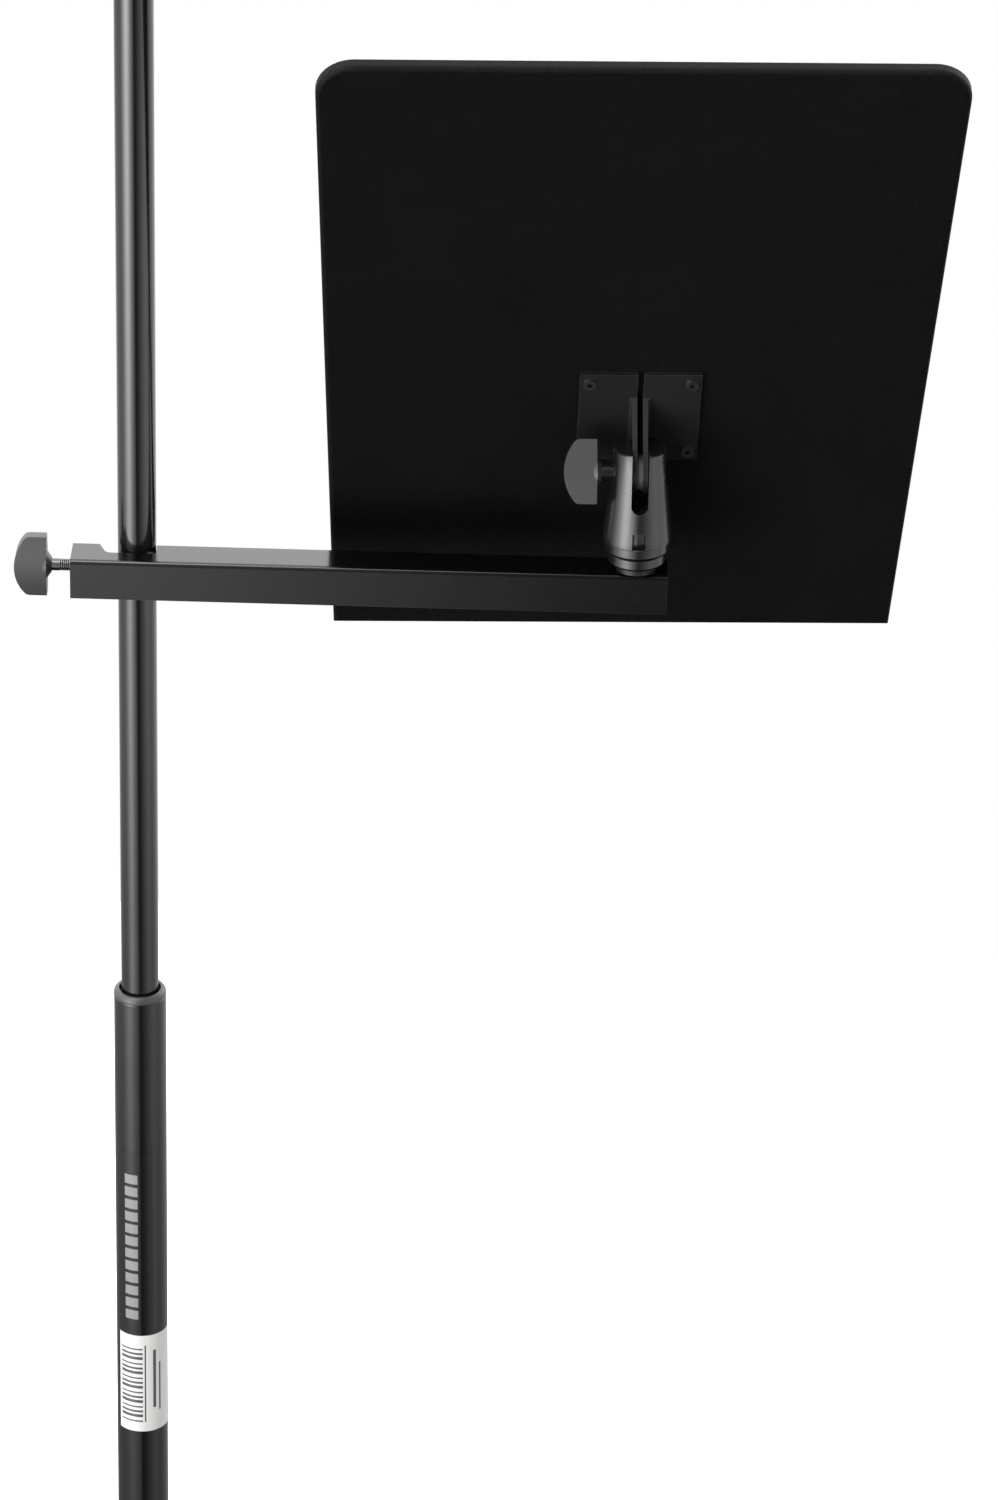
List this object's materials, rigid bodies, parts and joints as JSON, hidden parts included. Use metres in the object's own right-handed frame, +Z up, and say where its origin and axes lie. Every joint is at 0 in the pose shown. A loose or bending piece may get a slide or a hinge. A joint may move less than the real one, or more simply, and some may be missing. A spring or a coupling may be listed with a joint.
{
  "type": "music stand",
  "caption": "Free-standing music stand: a folded desk on a swivel and tilt head, carried by an arm clamped to a telescopic floor pole with a round base.",
  "frame": {"origin": "floor level, under the middle of the round base", "axes": "+Z up along the pole, -Y towards the reader, -X along the arm towards the desk"},
  "size_m": [0.4539, 0.254, 1.411],
  "materials": {
    "cast_black": "matte",
    "black_rubber": "matte",
    "zinc_steel": "satin",
    "black_plastic": "matte",
    "black_gloss": "gloss",
    "black_knob": "matte",
    "decal_film": "gloss",
    "white_label": "satin",
    "black_bracket": "satin",
    "black_textured": "fine texture",
    "rivet_alu": "satin"
  },
  "bodies": {
    "stand": {"base_casting": "cast_black", "base_pad": "black_rubber", "foot_nut": "zinc_steel", "foot_washer": "black_plastic", "tube_foot": "zinc_steel", "lower_tube": "black_gloss", "collar_ring": "black_knob", "guide_bush": "black_plastic", "tube_decal": "decal_film", "tube_sticker": "white_label"},
    "clutch": {"clutch_sleeve": "black_plastic"},
    "clutch_wedge": {"clutch_cone": "black_plastic"},
    "shaft": {"upper_shaft": "black_gloss", "shaft_tip": "zinc_steel", "shaft_foot": "zinc_steel", "clutch_stop": "zinc_steel"},
    "arm": {"arm_channel": "black_gloss", "clamp_nut": "zinc_steel", "arm_stud": "zinc_steel", "stud_washer": "zinc_steel", "stud_nut": "zinc_steel"},
    "pad": {"clamp_pad": "zinc_steel"},
    "clamp": {"clamp_screw": "zinc_steel", "clamp_knob": "black_knob"},
    "lock": {"lock_ring": "black_gloss"},
    "head": {"head_body": "black_gloss", "head_insert": "zinc_steel", "knurled_ring": "black_gloss", "tilt_nut": "zinc_steel"},
    "tilt_pressure": {"tilt_washer": "zinc_steel"},
    "tilt_grip": {"tilt_screw": "zinc_steel", "tilt_knob": "black_knob"},
    "desk": {"bracket_pole_side": "black_bracket", "bracket_far_side": "black_bracket", "bracket_spacer": "black_plastic", "desk_panel": "black_textured", "desk_rivets": "rivet_alu"}
  },
  "joints": [
    {"name": "pole_height", "type": "slide", "parent": "stand", "child": "clutch", "axis": [0, 0, 1], "range_m": [-0.09, 0.19]},
    {"name": "clutch_grip", "type": "slide", "parent": "clutch", "child": "clutch_wedge", "axis": [0, 0, 1], "range_m": [-0.0006, 0.0006]},
    {"name": "pole_turn", "type": "hinge", "parent": "clutch", "child": "shaft", "pos_m": [0, 0, 0.6], "axis": [0, 0, 1], "range_deg": [-165, 165]},
    {"name": "arm_height", "type": "slide", "parent": "shaft", "child": "arm", "axis": [0, 0, 1], "range_m": [-0.09, 0.33]},
    {"name": "clamp_grip", "type": "slide", "parent": "arm", "child": "pad", "axis": [1, 0, 0], "range_m": [-0.0002, 0.005]},
    {"name": "clamp_turn", "type": "hinge", "parent": "pad", "child": "clamp", "pos_m": [0.02, 0.0044, 1.0399], "axis": [1, 0, 0], "range_deg": [-100, 2260]},
    {"name": "lock_turn", "type": "hinge", "parent": "arm", "child": "lock", "pos_m": [-0.2039, 0.0086, 1.0528], "axis": [0, 0, 1], "continuous": true},
    {"name": "head_swivel", "type": "hinge", "parent": "arm", "child": "head", "pos_m": [-0.2039, 0.0086, 1.0678], "axis": [0, 0, 1], "range_deg": [-180, 4]},
    {"name": "tilt_press", "type": "slide", "parent": "head", "child": "tilt_pressure", "axis": [0.9986, 0.0523, 0], "range_m": [-0.0003, 0.002]},
    {"name": "tilt_turn", "type": "hinge", "parent": "tilt_pressure", "child": "tilt_grip", "pos_m": [-0.2039, 0.0086, 1.0906], "axis": [0.9986, 0.0523, 0], "range_deg": [-115, 725]},
    {"name": "desk_tilt", "type": "hinge", "parent": "head", "child": "desk", "pos_m": [-0.2039, 0.0086, 1.0906], "axis": [-0.9986, -0.0523, 0], "range_deg": [-20, 64]}
  ],
  "couplings": [
    {"joint": "clutch_grip", "follows": "pole_turn", "m_per_rad": 0.00019894},
    {"joint": "clamp_turn", "follows": "clamp_grip", "rad_per_m": 7854},
    {"joint": "tilt_turn", "follows": "tilt_press", "rad_per_m": 6283.2}
  ]
}
